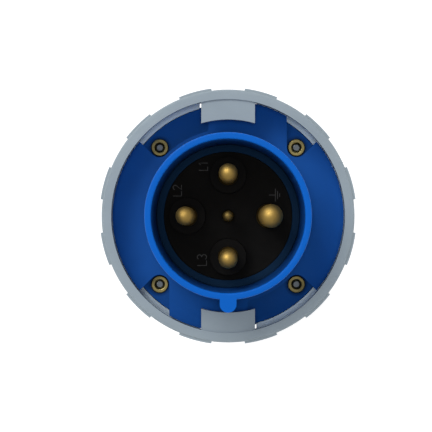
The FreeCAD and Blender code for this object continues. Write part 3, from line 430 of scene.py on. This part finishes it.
# Painted shade: each pin is darkened towards its foot on the insulator.
FOOT_PAINTED_SHADE = 0.12
FOOT_ABOVE = (0.1893, 0.1970)
FOOT_BEHIND = (0.1780, 0.1800)
TARNISH_SCALE = 260.0
TARNISH_SPAN = (0.45, 0.75)
MOST_TARNISH = 0.8
UNEVEN_SPAN = (0.3, 1.2)
UNEVEN_CHANGE = (-0.05, 0.09)
RING_DEPTH = 0.00001
PIN_EDGE = 0.0002


def turned_metal_group():
    """Skin of a turned metal: fine rings at right angles to Z from the cutter, seen in the gloss
    and the relief, and slow blotches of tarnish."""
    tree, given, made = new_group("turned_metal", [
        ("Colour", "NodeSocketColor", BRASS),
        ("Dull Colour", "NodeSocketColor", BRASS_DULL),
        ("Roughness", "NodeSocketFloat", 0.3),
        ("Rings", "NodeSocketFloat", 5000.0),
        ("Relief", "NodeSocketFloat", 0.2),
    ], [("Colour", "NodeSocketColor"), ("Roughness", "NodeSocketFloat"), ("Normal", "NodeSocketVector")])
    place = add(tree, "TexCoord").outputs["Object"]
    turn = computed(tree, "MULTIPLY", place_of(tree)[2], given["Rings"])
    rings = add(tree, "TexNoise", W=turn, Scale=1.0, Detail=2.0, settings={"noise_dimensions": "1D"})
    tarnish = add(tree, "TexNoise", Vector=place, Scale=TARNISH_SCALE, Detail=4.0, Distortion=0.6)
    share = ramp(tree, tarnish.outputs[0], TARNISH_SPAN, 0.0, MOST_TARNISH)
    tree.links.new(between(tree, share, given["Colour"], given["Dull Colour"]), made["Colour"])
    change = ramp(tree, computed(tree, "ADD", rings.outputs[0], share), UNEVEN_SPAN, *UNEVEN_CHANGE)
    tree.links.new(computed(tree, "ADD", given["Roughness"], change), made["Roughness"])
    bump = add(tree, "Bump", Strength=given["Relief"], Distance=RING_DEPTH, Height=rings.outputs[0])
    tree.links.new(bump.outputs[0], made["Normal"])
    return tree


turned_metal = turned_metal_group()


def turned(name, colour, dull, roughness, rings, relief):
    """A material of turned metal."""
    given = {"Colour": colour, "Dull Colour": dull, "Roughness": roughness, "Rings": rings,
             "Relief": relief}
    return skinned(name, turned_metal, given, {"Metallic": 1.0})


def painted_shade_foot(material):
    """Paint shade on a pin just above the insulator, darkening it towards its foot. The terminal
    behind the insulator keeps its colour."""
    tree = material.node_tree
    height = place_of(tree)[2]
    above = ramp(tree, height, FOOT_ABOVE, FOOT_PAINTED_SHADE, 1.0)
    behind = ramp(tree, height, FOOT_BEHIND, 1.0, FOOT_PAINTED_SHADE)
    toned(material, computed(tree, "MAXIMUM", above, behind))


contact_brass = turned("contact_brass", BRASS, BRASS_DULL, roughness=0.54, rings=4200.0, relief=0.15)
# Painted shade: the pilot pin gets the darker brass because it lies deeper in the sleeve.
pilot_shaded_brass = turned("pilot_shaded_brass", PILOT_SHADED_BRASS, PILOT_SHADED_DULL, roughness=0.55, rings=4200.0, relief=0.15)
painted_shade_foot(contact_brass)
painted_shade_foot(pilot_shaded_brass)
for pin in ("earth_pin", "pin_l1", "pin_l2", "pin_l3"):
    eased(pin, PIN_EDGE, contact_brass)
eased("pilot_pin", PIN_EDGE, pilot_shaded_brass)


# Inserts and screws: brass bushes are pressed into the flange's pockets, and the tips of the
# four zinc plated screws that hold both housings together show in them.
INSERT_BRASS = (0.53, 0.43, 0.17, 1)
INSERT_DULL = (0.40, 0.33, 0.14, 1)
ZINC = (0.27, 0.30, 0.32, 1)
ZINC_DULL = (0.20, 0.22, 0.24, 1)
SMALL_EDGE = 0.00012

insert_brass = turned("insert_brass", INSERT_BRASS, INSERT_DULL, roughness=0.38, rings=6000.0, relief=0.2)
zinc_steel = turned("zinc_steel", ZINC, ZINC_DULL, roughness=0.36, rings=6000.0, relief=0.2)
eased("threaded_inserts", SMALL_EDGE, insert_brass)
for steel in ("assembly_screws", "terminal_screws", "pilot_screw", "carrier_screws",
              "retaining_clip", "thrust_washer"):
    eased(steel, SMALL_EDGE, zinc_steel)


# Seals: a rubber ring between both housings and a rubber sleeve that the gland squeezes onto the
# cable. Both are matt black and slightly bloomed.
RUBBER = (0.016, 0.016, 0.017, 1)
RUBBER_BLOOM = (0.028, 0.028, 0.029, 1)
SEAL_EDGE = 0.0002

seal_rubber = moulded("seal_rubber", RUBBER, RUBBER_BLOOM, roughness=0.75, grain=0.4, specular=0.3)
frame["nodes"]["housing_seal"].material_slots[0].material = seal_rubber
eased("gland_seal", SEAL_EDGE, seal_rubber)


# Gland: a cap nut of the ring's grey nylon, moulded with grip flutes, turns on the neck and pushes
# the slit cage against the rubber sleeve.
NUT_EDGE = 0.0004
CAGE_EDGE = 0.0002

grey_nylon = moulded("grey_nylon", **GREY_SKIN)
eased("gland_nut", NUT_EDGE, grey_nylon)
eased("clamping_cage", CAGE_EDGE, grey_nylon)


# Studio: a pale floor, a soft light from high above the plug, a second one from the upper left and
# a pale surround that is brightest at the horizon, as a studio's backdrop is. The plug stands on its
# nut, so the floor follows the nut's foot when the nut is screwed back.
FLOOR_HALF = 3.0
FLOOR_LOOK = {"Base Color": (0.55, 0.55, 0.55, 1), "Roughness": 0.9, "Specular IOR Level": 0.0,
              "Emission Color": (1, 1, 1, 1), "Emission Strength": 0.7}
SURROUND = 0.42
HORIZON = 1.0
HORIZON_RISE = 0.35
LIT_POINT = Vector((0, 0, 0.2))
TOP_POWER = 9.2
TOP_SIZE = 0.3
TOP_ELEVATION = math.radians(90)
TOP_DISTANCE = 2.0
KEY_POWER = 19.6
KEY_SIZE = 0.96
KEY_AZIMUTH = math.radians(125)
KEY_ELEVATION = math.radians(53)
KEY_DISTANCE = 2.0

floor_mesh = bpy.data.meshes.new("floor")
floor_mesh.from_pydata([(-FLOOR_HALF, -FLOOR_HALF, 0), (FLOOR_HALF, -FLOOR_HALF, 0),
                        (FLOOR_HALF, FLOOR_HALF, 0), (-FLOOR_HALF, FLOOR_HALF, 0)], [], [(0, 1, 2, 3)])
floor_material = bpy.data.materials.new("floor")
floor_material.use_nodes = True
floor_surface = floor_material.node_tree.nodes["Principled BSDF"]
for key, setting in FLOOR_LOOK.items():
    floor_surface.inputs[key].default_value = setting
floor_mesh.materials.append(floor_material)
floor = bpy.data.objects.new("floor", floor_mesh)
bpy.context.scene.collection.objects.link(floor)
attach(floor, "gland_follower")

world = bpy.data.worlds.new("surround")
world.use_nodes = True
tree = world.node_tree
skyward = add(tree, "SeparateXYZ", add(tree, "TexCoord").outputs["Generated"]).outputs[2]
background = tree.nodes["Background"].inputs
background["Color"].default_value = (1, 1, 1, 1)
tree.links.new(ramp(tree, skyward, (0.0, HORIZON_RISE), HORIZON, SURROUND), background["Strength"])
bpy.context.scene.world = world


def soft_light(name, azimuth, elevation, distance, size, power):
    """A square light that looks at the lit point from that far away."""
    data = bpy.data.lights.new(name, "AREA")
    data.size = size
    data.energy = power
    light = bpy.data.objects.new(name, data)
    away = Vector((math.cos(azimuth) * math.cos(elevation), math.sin(azimuth) * math.cos(elevation),
                   math.sin(elevation)))
    light.location = LIT_POINT + away * distance
    light.rotation_mode = "QUATERNION"
    light.rotation_quaternion = (-away).to_track_quat("-Z", "Y")
    bpy.context.scene.collection.objects.link(light)
    return light


top_light = soft_light("top_light", 0, TOP_ELEVATION, TOP_DISTANCE, TOP_SIZE, TOP_POWER)
top_light.visible_glossy = False
soft_light("key_light", KEY_AZIMUTH, KEY_ELEVATION, KEY_DISTANCE, KEY_SIZE, KEY_POWER)


# Camera: it looks straight down at the pins, with +Y up in the picture. The picture is 432 pixels
# wide, and the plug's axis is 12.1 pixels right of its middle.
PICTURE = 432
FOCAL_PIXELS = 1728
AXIS_OFFSET_PIXELS = 12.1
EYE_HEIGHT = 0.960
SENSOR = 36.0

camera = bpy.data.objects.new("camera", bpy.data.cameras.new("camera"))
camera.data.sensor_width = SENSOR
camera.data.lens = SENSOR * FOCAL_PIXELS / PICTURE
camera.data.shift_x = -AXIS_OFFSET_PIXELS / PICTURE
camera.location = (0, 0, EYE_HEIGHT)
bpy.context.scene.collection.objects.link(camera)
bpy.context.scene.camera = camera
bpy.context.scene.view_settings.view_transform = "Standard"
